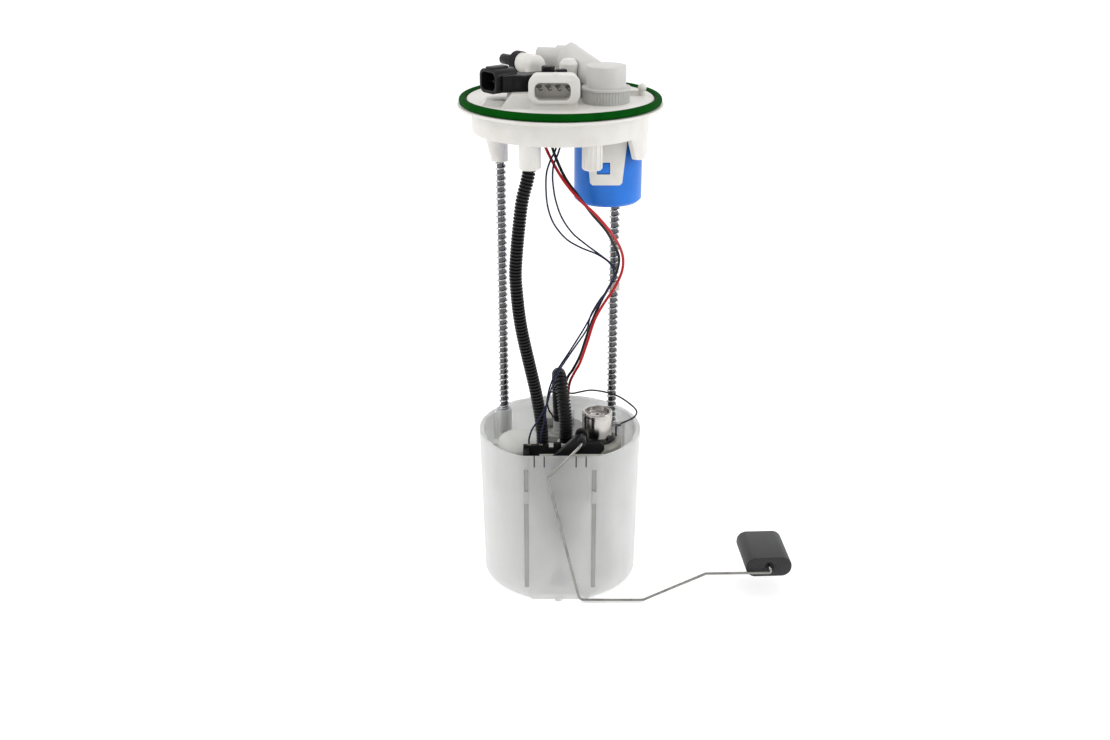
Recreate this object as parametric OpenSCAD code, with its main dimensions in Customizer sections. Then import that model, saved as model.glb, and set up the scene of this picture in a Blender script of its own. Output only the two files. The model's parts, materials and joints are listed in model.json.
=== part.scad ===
// In-tank fuel pump module: a flange that closes the tank opening, two sprung
// guide rods, and a fuel reservoir with the pump, the filter, the pressure
// regulator and the level sender. Millimetres, +Z up, origin at the centre of
// the reservoir's flat base.

/* [Reservoir] */
// Height of the reservoir cup
cup_h = 109.2; // [108:0.2:114]
// Outer radius of the cup at its rim
cup_r_top = 56.5; // [55.5:0.1:58]
// Outer radius of the cup at its base
cup_r_bot = 54; // [53:0.1:55.5]
// Wall thickness of the cup
cup_wall = 2; // [1.6:0.1:2.2]
// Distance of the flat front wall from the axis
cup_flat = 50; // [49.8:0.1:50.2]
// Half width of the proud front panel
panel_hw = 21; // [19:0.5:22]

/* [Flange] */
// Height of the underside of the flange lip above the base
lip_z = 333.6; // [332:0.2:335]
// Radius of the flange lip
lip_r = 66; // [65.2:0.1:68]
// Radius of the spigot that enters the tank neck
skirt_r = 57; // [56:0.1:58]
// Depth of the spigot below the lip
skirt_h = 13.3; // [12.3:0.1:15]
// Centreline radius of the seal ring
seal_r = 62.6; // [62.6:0.1:62.8]
// Cross-section radius of the seal ring
seal_t = 2.5; // [2.3:0.05:2.5]

/* [Guide rods] */
// Radius of a guide rod
rod_r = 2.5; // [2.3:0.05:2.6]
// Radial running clearance of a rod in its guide
rod_fit = 0.05; // [0.02:0.01:0.09]
// Height of the lower end of the rods
rod_z0 = 70; // [68:0.5:72]
// Outer radius of the guide spring coils
coil_ro = 3.7; // [3.6:0.05:3.8]
// Inner radius of the guide spring coils
coil_ri = 2.85; // [2.8:0.01:2.95]

/* [Level sender] */
// Radius of the float arm wire
wire_r = 0.9; // [0.8:0.05:1]
// Width of the float
float_w = 31.8; // [28:0.2:32]
// Height of the float
float_h = 14.5; // [14:0.5:16]
// Length of the float
float_l = 39; // [30:1:40]

/* [Pump] */
// Outer radius of the pump case
pump_r = 19; // [18.6:0.1:19.2]
// Wall thickness of the pump case
pump_wall = 1.2; // [1:0.1:1.3]
// Radius of the motor shaft
shaft_r = 1.6; // [1.5:0.05:1.7]

/* [Hoses and wires] */
// Outer radius of the supply hose
hose_r = 4.2; // [3.8:0.1:4.3]
// Radius of a power wire over its insulation
power_r = 0.95; // [0.8:0.05:1]
// Radius of a sender wire over its insulation
signal_r = 0.6; // [0.5:0.05:0.65]

/* [Hidden] */
$fn = 64;

deck_lo = 336.6;
deck_z = 340.6;
rod_l = [-40, 24];
rod_rt = [37, 24];
boss_top_l = 112.5;
boss_top_r = 100;
boss_bot = 76.5;
sock_l = 293.5;
sock_r = 298;
pump_c = [0, 20];
filt_c = [-27, -14];
reg_c = [25.7, -15];
hub = [14.3, 119.5];
can_c = [31, -3];
float_pin = [144.158, 28];
tower_c = [28.6, -17];
vent_c = [28.6, -15];
port_c = [-16, 4.5];
arch_x = 4.2;

// Round points along each cord's run, from the flange down
hose_pts = [[-19,-46,310],[-19.6,-46,303],[-21,-45.6,296],[-24,-45,284],[-26.4,-44,265],[-28,-42.6,248],[-28.8,-41,234],[-28,-40,220],
  [-26.8,-38,206],[-25,-36.2,193],[-22.6,-34.4,180],[-19.6,-32.4,165],[-16.6,-31,150],[-14,-29.8,134],[-12.2,-29,118],[-12,-29,105.3]];
red_pts = [[-12,-17,336],[-11.6,-18,325],[-10,-20,314],[-3,-23.6,300],[4,-27.6,290],[13,-30,280],[23,-28,270],[32,-18,257],
  [39,-4,243],[42.4,5,231],[42,12,219],[37.4,14.6,207],[30,12.4,196],[23.6,5.4,186.4],[18.8,1.6,172],[14,2,157],
  [9.8,6,147],[6.8,12,137],[5.8,17,124],[5.2,19.6,114],[5,20,108.4]];
black_pts = [[-7,-15,336],[-6.4,-17,325],[-5.4,-18.4,313],[-1.4,-20.6,302],[4,-24.4,292],[11,-26.6,283],[20,-25,270.5],[30,-14.6,256],
  [36,-1.4,242],[39.6,5,231.6],[38.8,14.6,219],[34.4,17.2,208],[28,13.4,197],[21.8,8.6,184],[17.4,5,172],[14,4.6,161],
  [9.2,7.6,149.6],[5.4,13,141],[3,15.6,130],[2.2,18.6,118],[2,20,108.4]];
thin_a = [[0,-18,336],[-0.6,-20,324],[-3,-24,312],[-6,-25.4,306],[-8.8,-25,297],[-9.2,-22,285],[-8,-17,272],[-4,-10,259],
  [4,-3,247],[14,3.4,239],[25,8,233],[33,9.4,227],[36.4,10,221],[36.2,11,213.4],[32,11,206],[24.2,6.6,195],
  [16.2,0.4,182],[6.2,-8.6,168.6],[-2.6,-17.6,157.6],[-7.2,-25,148.6],[-9,-31.4,140],[-10.8,-36,129],[-13,-37.8,119],[-13,-37.5,113.4]];
thin_b = [[3,-16,336],[2.4,-19,324],[-1,-24.6,311],[-4.2,-26.6,303],[-5,-24,295],[-4.6,-19,287],[-3,-13.6,276],[1,-8,263],
  [8,-1,250.6],[17,5,241],[26,10.6,232.6],[34,15,225],[38.4,18,218.6],[37,19.4,211],[33,18.8,204],[27.4,16.6,197.4],
  [21.8,11,189.6],[19.8,4.8,185.8],[17.8,-1.2,181.4],[7.4,-9.8,168.6],[-1.4,-18.8,157.6],[-6,-26.4,148.6],[-9,-33.8,140.6],[-14,-37.6,132],
  [-19,-38.4,124],[-21,-37.9,117],[-21,-37.5,113.4]];
loop_pts = [[-5,18,108.4],[-5.6,13.6,112],[-7.8,8,118.3],[-9,6,126],[-7.4,5,132.4],[-2,0.4,136],[3.4,-3.4,136.4],[9,-4.6,136.4],
  [14,-4,137.2],[22,0,136.8],[32,4,133.6],[41,4,130.4],[49,0.4,126.2],[53.4,-4,122.8],[52,-7,119.8],[47,-9,117.6],
  [42.2,-10.2,115.9]];
arch_pts = [[0,10,110],[-0.4,9.8,120],[-0.8,9,131],[-1,6.6,141],[-1,2.4,147.4],[-0.6,-3,149.6],[0.4,-8.6,147.6],[1.8,-13.4,141],
  [3,-16.4,131],[4,-17.6,119],[4.2,-18,106]];
arm_pts = [[14.3,-41,119.5],[14.3,-53,119.5],[-8.5,-56,96.6],[13.6,-56,2.2],[57.7,-56,2.2],[100.6,-56,23.2],
  [141,-56.6,24.2],[145.6,-57,24.4],[144.3,-57,28],[142.9,-30,28]];

// ---- helpers -------------------------------------------------------------
function unit(v) = v / norm(v);
function cr(a, b, c, d, t) = 0.5*((2*b) + (c-a)*t + (2*a-5*b+4*c-d)*t*t + (3*b-a-3*c+d)*t*t*t);
function clampi(i, n) = i < 0 ? 0 : i > n ? n : i;
// Smooth curve through the points, k steps per span
function smooth(p, k) = let (n = len(p)-1) [for (i = [0:n-1]) for (j = [0:k-1])
  cr(i == 0 ? 2*p[0]-p[1] : p[i-1], p[i], p[i+1], i+2 > n ? 2*p[n]-p[n-1] : p[i+2], j/k), p[n]];
// Polyline with its corners rounded to radius r in k steps
function rounded(p, r, k) = let (n = len(p)-1) [p[0], for (i = [1:n-1])
  let (a = unit(p[i-1]-p[i]), b = unit(p[i+1]-p[i]), h = acos(a*b)/2,
       d = min(r/tan(h), 0.45*min(norm(p[i-1]-p[i]), norm(p[i+1]-p[i]))), rr = d*tan(h),
       c = p[i] + unit(a+b)*rr/sin(h), s = p[i]+a*d, e = p[i]+b*d, u = unit(s-c), w = unit(e-c),
       q = acos(u*w))
  for (j = [0:k]) c + rr*(sin((1-j/k)*q)*u + sin(j/k*q)*w)/sin(q), p[n]];
function tang(p) = let (n = len(p)-1) [for (i = [0:n]) unit(p[clampi(i+1,n)] - p[clampi(i-1,n)])];
function carry(t, u0) = [for (i = 0, u = unit(u0-(u0*t[0])*t[0]); i < len(t);
  i = i+1, u = i < len(t) ? unit(u-(u*t[i])*t[i]) : u) u];
module sweep(p, r, n, u0) {
  t = tang(p);
  u = carry(t, u0);
  m = len(p);
  pts = [for (i = [0:m-1]) let (v = cross(t[i], u[i])) for (j = [0:n-1])
    p[i] + r*(cos(360*j/n)*u[i] + sin(360*j/n)*v)];
  sides = [for (i = [0:m-2]) for (j = [0:n-1]) let (k = (j+1)%n) [i*n+j, (i+1)*n+j, (i+1)*n+k, i*n+k]];
  polyhedron(pts, concat(sides, [[for (j = [0:n-1]) j]], [[for (j = [0:n-1]) m*n-1-j]]), convexity = 6);
}
module rrect(w, h, r) {
  square([w-2*r, h], center = true);
  square([w, h-2*r], center = true);
  for (x = [-1, 1], y = [-1, 1]) translate([x*(w/2-r), y*(h/2-r)]) circle(r, $fn = 32);
}
module at(c, z) translate([c[0], c[1], z]) children();
module ring(ro, ri, h) difference() {
  cylinder(h = h, r = ro);
  translate([0, 0, -1]) cylinder(h = h+2, r = ri);
}
module rod_to(a, b, r) {
  v = b-a;
  translate(a) rotate([0, acos(v[2]/norm(v)), atan2(v[1], v[0])]) cylinder(h = norm(v), r = r);
}
// Outer radius of the cup at height z
function cup_r(z) = cup_r_bot + (cup_r_top-cup_r_bot)*z/cup_h;

// ---- reservoir -----------------------------------------------------------
module cup_outer() {
  intersection() {
    union() {
      translate([0, 0, 2]) cylinder(h = cup_h-2, r1 = cup_r(2), r2 = cup_r_top, $fn = 128);
      cylinder(h = 2, r1 = cup_r_bot-1.6, r2 = cup_r(2), $fn = 128);
    }
    translate([-80, -cup_flat, -1]) cube([160, 160, cup_h+2]);
  }
  translate([0, -cup_flat+0.2, 0]) rotate([90, 0, 0]) linear_extrude(1.4) translate([0, cup_h/2])
    rrect(2*panel_hw, cup_h, 3);
}
module cup_inner() intersection() {
  translate([0, 0, 2.5]) cylinder(h = cup_h, r1 = cup_r_bot-cup_wall, r2 = cup_r_top-cup_wall+0.1, $fn = 128);
  translate([-80, -cup_flat+cup_wall, -1]) cube([160, 160, cup_h+20]);
}
module rod_guide(c, top) {
  a = atan2(c[1], c[0]);
  at(c, boss_bot) cylinder(h = top-boss_bot, r = 5.4);
  translate([0, 0, boss_bot]) rotate([0, 0, a]) translate([norm(c), -2.6, 0]) cube([54.9-norm(c), 5.2, min(top, cup_h)-boss_bot-1]);
}
module reservoir_cup() color([0.86, 0.87, 0.85]) difference() {
  union() {
    difference() {
      cup_outer();
      cup_inner();
    }
    rod_guide(rod_l, boss_top_l);
    rod_guide(rod_rt, boss_top_r);
    // Rim band inside the back wall
    intersection() {
      translate([0, 0, cup_h-7]) ring(cup_r_top-1, cup_r_top-cup_wall-1.2, 7);
      translate([-80, -20, 0]) cube([160, 160, cup_h]);
    }
    for (a = [52, 90, 128]) rotate([0, 0, a]) translate([cup_r_bot-3.5, -0.8, 2]) cube([3.4, 1.6, 48]);
    // Collars on the floor for the pump and the filter
    at(pump_c, 2) ring(23.4, 21.6, 6);
    at(filt_c, 2) ring(18.8, 17.2, 4);
    // Foot at the front
    translate([-1, -cup_flat-2.2, 0]) cylinder(h = 1.4, r = 2.4);
  }
  for (c = [rod_l, rod_rt]) at(c, boss_bot-1) cylinder(h = 60, r = rod_r+rod_fit);
  // Thin slots that free the two snap tabs
  for (x = [-17.4, -10.7, 10.7, 17.4]) translate([x-0.4, -cup_flat-3, 101.9]) cube([0.8, 8, 12]);
  // Grooves beside the front panel
  for (x = [-23, 23]) {
    translate([x-1.5, -cup_flat-1, 83]) cube([3, 2.4, 16.6]);
    translate([x-1.5, -cup_flat-1, 8]) cube([3, 2.4, 66]);
  }
  // Fuel inlet in the floor
  at([0, -31], -1) cylinder(h = 5, r = 1.5);
  for (a = [30:60:330]) at([0, -31], -1) rotate([0, 0, a]) translate([4.6, 0, 0]) cylinder(h = 5, r = 1.6);
  at([0, -31], -1) cylinder(h = 2.2, r = 9.2);
}
module inlet_screen() color([0.75, 0.75, 0.72]) at([0, -31], 0.3) difference() {
  cylinder(h = 0.8, r = 9);
  for (x = [-6:3:6], y = [-6:3:6]) if (norm([x, y]) < 7.2) translate([x, y, -1]) cylinder(h = 3, r = 0.9, $fn = 16);
}
module inlet_valve() color([0.12, 0.12, 0.12]) at([0, -31], 0) {
  translate([0, 0, 2.5]) cylinder(h = 0.9, r1 = 7.6, r2 = 6.6);
  translate([0, 0, 1.3]) cylinder(h = 2.6, r = 1.4);
  translate([0, 0, 3.2]) cylinder(h = 1.2, r1 = 3, r2 = 1.2);
}

// ---- electric pump -------------------------------------------------------
module pump_isolator() color([0.14, 0.14, 0.15]) at(pump_c, 2.5) difference() {
  cylinder(h = 32, r = 21.4);
  translate([0, 0, 11.5]) cylinder(h = 30, r = pump_r);
  translate([0, 0, -1]) cylinder(h = 20, r = 14);
  for (a = [0:30:330]) rotate([0, 0, a]) translate([21.4, 0, 14]) cylinder(h = 30, r = 1.2, $fn = 24);
  for (a = [15:60:345]) rotate([0, 0, a]) translate([10, -2.5, -1]) cube([14, 5, 6]);
}
module pump_case() color([0.72, 0.73, 0.75]) at(pump_c, 18) {
  difference() {
    cylinder(h = 78, r = pump_r);
    translate([0, 0, -1]) cylinder(h = 80, r = pump_r-pump_wall);
  }
}
module pump_inlet_cap() color([0.16, 0.16, 0.17]) at(pump_c, 0) difference() {
  union() {
    translate([0, 0, 14]) cylinder(h = 18, r = pump_r-pump_wall);
    translate([8, 0, 6]) cylinder(h = 8.5, r = 5);
  }
  translate([0, 0, 20]) cylinder(h = 4.6, r = 15.4);
  translate([0, 0, 17]) cylinder(h = 4, r = shaft_r+0.05);
  translate([0, 0, 24]) cylinder(h = 9, r = shaft_r+0.05);
  translate([8, 0, 5]) cylinder(h = 16, r = 3);
  translate([-9, 0, 24]) cylinder(h = 9, r = 2.4);
}
module pump_outlet_cap() color([0.16, 0.16, 0.17]) at(pump_c, 0) difference() {
  union() {
    translate([0, 0, 88]) cylinder(h = 12, r = pump_r-pump_wall);
    translate([0, -10, 100]) cylinder(h = 10, r = 4.8);
    translate([0, -10, 99]) cylinder(h = 3, r = 6);
    translate([-8, 3, 99]) cube([16, 9, 3]);
  }
  translate([0, 0, 87]) cylinder(h = 7, r = shaft_r+0.05);
  translate([0, -10, 87]) cylinder(h = 12, r = 2);
  translate([0, -10, 95.5]) cylinder(h = 20, r = 3.4);
  for (x = [-5, 5]) translate([x-1.5, 5.5, 84]) cube([3, 1, 20]);
}
module pump_magnets() color([0.2, 0.2, 0.22]) at(pump_c, 36) difference() {
  ring(pump_r-pump_wall, 14.4, 42);
  for (a = [0, 180]) rotate([0, 0, a]) translate([0, -4, -1]) cube([30, 8, 60]);
}
module pump_brushes() color([0.8, 0.62, 0.3]) at(pump_c, 0) {
  for (s = [-1, 1]) {
    translate([s*9.6-2.4, -2, 80.5]) cube([4.8, 4, 5]);
    translate([s*5-1.4, 5.6, 87]) cube([2.8, 0.8, 21.4]);
    translate([s*9.6-2.4, -2, 85.5]) cube([4.8, 4, 2.5]);
  }
}
module pump_sock() color([0.9, 0.9, 0.86]) at(pump_c, 2.5) translate([4, 0, 0]) ring(9, 3, 3.4);
module pump_plug() color([0.13, 0.13, 0.14]) at(pump_c, 102) difference() {
  translate([-10.4, -3.4, 0]) cube([20.8, 15, 6]);
  for (s = [-1, 1]) translate([s*5-1.5, 5.5, -1]) cube([3, 1, 9]);
  translate([0, -10, -1]) cylinder(h = 9, r = 7);
}
module check_valve() color([0.85, 0.8, 0.5]) at(pump_c, 0) translate([0, -10, 96]) {
  cylinder(h = 2, r1 = 2.4, r2 = 3.1);
  translate([0, 0, 2]) cylinder(h = 3, r = 3.1);
}
module check_valve_spring() color([0.7, 0.7, 0.72]) at(pump_c, 0) translate([0, -10, 101]) ring(2.9, 2.3, 8.4);
module armature_core() color([0.45, 0.3, 0.2]) at(pump_c, 37) difference() {
  union() {
    cylinder(h = 40, r = 10);
    for (a = [0:45:315]) rotate([0, 0, a]) translate([8, -3, 4]) cube([5.5, 6, 32]);
  }
  translate([0, 0, -1]) cylinder(h = 50, r = shaft_r);
}
module motor_shaft() color([0.8, 0.8, 0.82]) at(pump_c, 17.6) cylinder(h = 75, r = shaft_r);
module commutator() color([0.78, 0.5, 0.28]) at(pump_c, 79) difference() {
  cylinder(h = 7.5, r = 7);
  translate([0, 0, -1]) cylinder(h = 10, r = shaft_r);
  for (a = [0:45:315]) rotate([0, 0, a]) translate([5.4, -0.3, -1]) cube([3, 0.6, 10]);
}
module impeller() color([0.2, 0.2, 0.2]) at(pump_c, 20.5) difference() {
  cylinder(h = 3.4, r = 15);
  translate([0, 0, -1]) cylinder(h = 6, r = shaft_r);
  for (a = [0:15:345]) rotate([0, 0, a]) translate([13.2, 0, -1]) cylinder(h = 6, r = 1, $fn = 16);
}

// ---- filter, jet pump and regulator --------------------------------------
module filter_housing() color([0.82, 0.82, 0.79]) difference() {
  union() {
    at(filt_c, 2.5) cylinder(h = 101, r = 17);
    at(filt_c, 103.5) cylinder(h = 3.5, r1 = 17, r2 = 14.5);
    at(filt_c, 107) cylinder(h = 2, r1 = 14.5, r2 = 10);
    // Duct that feeds the filter and the regulator from the arch hose
    translate([-14, -22, 94]) cube([22.2, 10, 8]);
    at([arch_x, -18], 94) cylinder(h = 12, r = 6);
    // Outlet socket of the supply hose
    at([-12, -29], 92) cylinder(h = 13, r = 5.2);
    translate([-19, -28, 92]) cube([8, 8, 9]);
    // Snap window on the left
    translate([-46.6, -18, 84]) cube([5, 8, 20]);
  }
  at(filt_c, 4.5) cylinder(h = 99, r = 15.2);
  at(filt_c, 103.4) cylinder(h = 3, r1 = 15.2, r2 = 13);
  translate([-16, -19, 96]) cube([28, 4, 4]);
  at([arch_x, -18], 97) cylinder(h = 12, r = 3);
  at([-12, -29], 97) cylinder(h = 12, r = 3);
  translate([-20, -26, 95]) cube([10, 4, 4]);
}
module filter_element() color([0.9, 0.88, 0.8]) at(filt_c, 6) difference() {
  cylinder(h = 94, r = 13.6);
  translate([0, 0, -1]) cylinder(h = 99, r = 6.5);
  for (a = [0:20:340]) rotate([0, 0, a]) translate([13.9, 0, 3]) cylinder(h = 88, r = 1.5, $fn = 16);
}
module jet_pump() color([0.17, 0.17, 0.18]) difference() {
  union() {
    at([31, -24], 3) cylinder(h = 89, r = 4.6);
    at([31, -24], 3) cylinder(h = 14, r = 6.4);
    rod_to([31, -24, 10], [45, -4, 10], 5);
    rod_to([31, -24, 10], [19, -30, 10], 3.6);
    at([31, -24], 84) cylinder(h = 8, r = 6);
  }
  at([31, -24], 6) cylinder(h = 90, r = 2.2);
  rod_to([33, -21.1, 10], [46, -2.6, 10], 2.8);
}
module regulator_holder() color([0.76, 0.75, 0.68]) difference() {
  union() {
    at(reg_c, 92) cylinder(h = 13, r = 17);
    at(reg_c, 105) cylinder(h = 2, r1 = 17, r2 = 15.4);
    translate([8.2, -22, 94]) cube([5, 10, 8]);
  }
  at([arch_x, -18], 91) cylinder(h = 20, r = 6.2);
  at(reg_c, 96) cylinder(h = 20, r = 10.4);
  at(reg_c, 105) cylinder(h = 3, r = 12.4);
  translate([7, -19, 96]) cube([14, 4, 4]);
  at([31, -24], 90) cylinder(h = 12, r = 2.2);
}
module regulator_can() color([0.85, 0.86, 0.88]) difference() {
  union() {
    at(reg_c, 97) cylinder(h = 29.4, r = 10.3);
    at(reg_c, 126.4) cylinder(h = 1.6, r1 = 10.3, r2 = 9);
  }
  at(reg_c, 123.6) cylinder(h = 6, r = 7.2);
  at(reg_c, 99) cylinder(h = 22.6, r = 9.4);
  at(reg_c, 96) cylinder(h = 4, r = 3);
}
module regulator_seal() color([0.1, 0.1, 0.1]) at(reg_c, 105.9) rotate_extrude() translate([11.35, 0]) circle(0.9, $fn = 16);
module regulator_clip() color([0.15, 0.15, 0.16]) at(reg_c, 0) {
  difference() {
    translate([0, 0, 108.2]) ring(11.5, 10.35, 1.2);
    translate([-22, 0, 107]) cube([22, 20, 4]);
  }
  rotate([0, 0, -40]) translate([10.4, -2, 109.3]) cube([1, 4, 2.2]);
}
module regulator_spring() color([0.7, 0.7, 0.72]) at(reg_c, 104.2) ring(5, 4.1, 17.4);
module regulator_valve() color([0.75, 0.6, 0.3]) at(reg_c, 99.2) {
  cylinder(h = 2, r1 = 3.6, r2 = 3.6);
  translate([0, 0, 2]) cylinder(h = 3, r = 8.6);
}
module transfer_hose() color([0.1, 0.1, 0.11]) sweep(smooth(arch_pts, 4), 4.7, 12, [1, 0, 0]);
module ground_wire() color([0.1, 0.1, 0.11]) sweep(smooth(loop_pts, 4), signal_r, 8, [1, 0, 0]);
module ground_tab() color([0.75, 0.75, 0.77]) {
  translate([38.4, -11.4, 107]) cube([1.2, 2.6, 7.4]);
  translate([38.4, -11.4, 114.4]) cube([4, 2.6, 0.8]);
}

// ---- level sender --------------------------------------------------------
module sender_frame() color([0.09, 0.09, 0.1]) difference() {
  union() {
    translate([-25, -38.5, 76]) cube([50, 3, 33.8]);
    translate([-25, -38.5, 108]) cube([17.4, 3, 4.2]);
    translate([-4.6, -38.5, 109]) cube([5.4, 3, 4.6]);
    translate([-25, -47.6, 96]) cube([4, 10, 14.6]);
    translate([20, -38.5, 100]) cube([5, 3, 11]);
    for (x = [-25, 21]) translate([x, -47, 70]) cube([4, 11.5, 12]);
    translate([-25, -38.5, 70]) cube([50, 3, 8]);
    translate([hub[0], -38.5, hub[1]]) rotate([-90, 0, 0]) cylinder(h = 3, r = 4.2);
    translate([hub[0]-3.8, -38.5, 108]) cube([7.6, 3, 11]);
    translate([hub[0]+1, -38.5, 108]) cube([11.4, 3, 5.6]);
    translate([26.6, -38.5, 110.4]) rotate([-90, 0, 0]) cylinder(h = 3, r = 3.4);
    translate([hub[0]+8, -38.5, 104]) cube([5.6, 3, 6]);
    translate([hub[0], -35.6, hub[1]]) rotate([-90, 0, 0]) cylinder(h = 1.8, r = 3.9);
  }
  translate([hub[0], -41, hub[1]]) rotate([-90, 0, 0]) cylinder(h = 12, r = 2.55);
  for (x = [-21, -13]) translate([x-1.1, -37.9, 104]) cube([2.2, 0.8, 12]);
  translate([-8, -40, 98]) cube([10, 6, 3]);
}
module sender_card() color([0.93, 0.92, 0.88]) translate([-14, -39.5, 82]) cube([44, 1, 24]);
module sender_terminals() color([0.8, 0.8, 0.8]) for (x = [-21, -13])
  translate([x-1.1, -37.9, 104]) cube([2.2, 0.8, 9.2]);
module arm_rotor() color([0.08, 0.08, 0.09]) {
  translate([hub[0], -41, hub[1]]) rotate([-90, 0, 0]) cylinder(h = 7.3, r = 2.5);
  difference() {
    union() {
      translate([hub[0], -49.4, hub[1]]) rotate([-90, 0, 0]) cylinder(h = 8.4, r = 3.1);
      translate([hub[0], -44.6, hub[1]]) rotate([0, 45, 0]) translate([-3, 0, -30]) cube([6, 3.2, 30]);
    }
    translate([hub[0], -60, hub[1]]) rotate([-90, 0, 0]) cylinder(h = 19, r = wire_r, $fn = 32);
  }
}
module wiper() color([0.8, 0.7, 0.4]) translate([hub[0], -41.4, hub[1]]) rotate([0, 45, 0]) {
  translate([-2.6, 0, -29]) cube([5.2, 0.4, 20]);
  translate([-2.2, 0.4, -28]) cube([1.2, 1.2, 1.2]);
  translate([1, 0.4, -28]) cube([1.2, 1.2, 1.2]);
}
module arm_wire() color([0.75, 0.76, 0.78]) sweep(rounded(arm_pts, 4, 5), wire_r, 8, [1, 0, 0.3]);
module float() color([0.2, 0.2, 0.22]) difference() {
  float_at() translate([0, float_l, -0.9]) rotate([90, 0, 0]) linear_extrude(float_l) rrect(float_w, float_h, 6.9);
  float_at() translate([0, -1, 0]) rotate([-90, 0, 0]) cylinder(h = float_l-6, r = wire_r+0.1);
  float_at() translate([0, -1, 0]) rotate([-90, 0, 0]) cylinder(h = 2.6, r = 3.2);
}
module float_at() translate([float_pin[0], -54.2, float_pin[1]]) rotate([0, 0, 3]) children();

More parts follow.
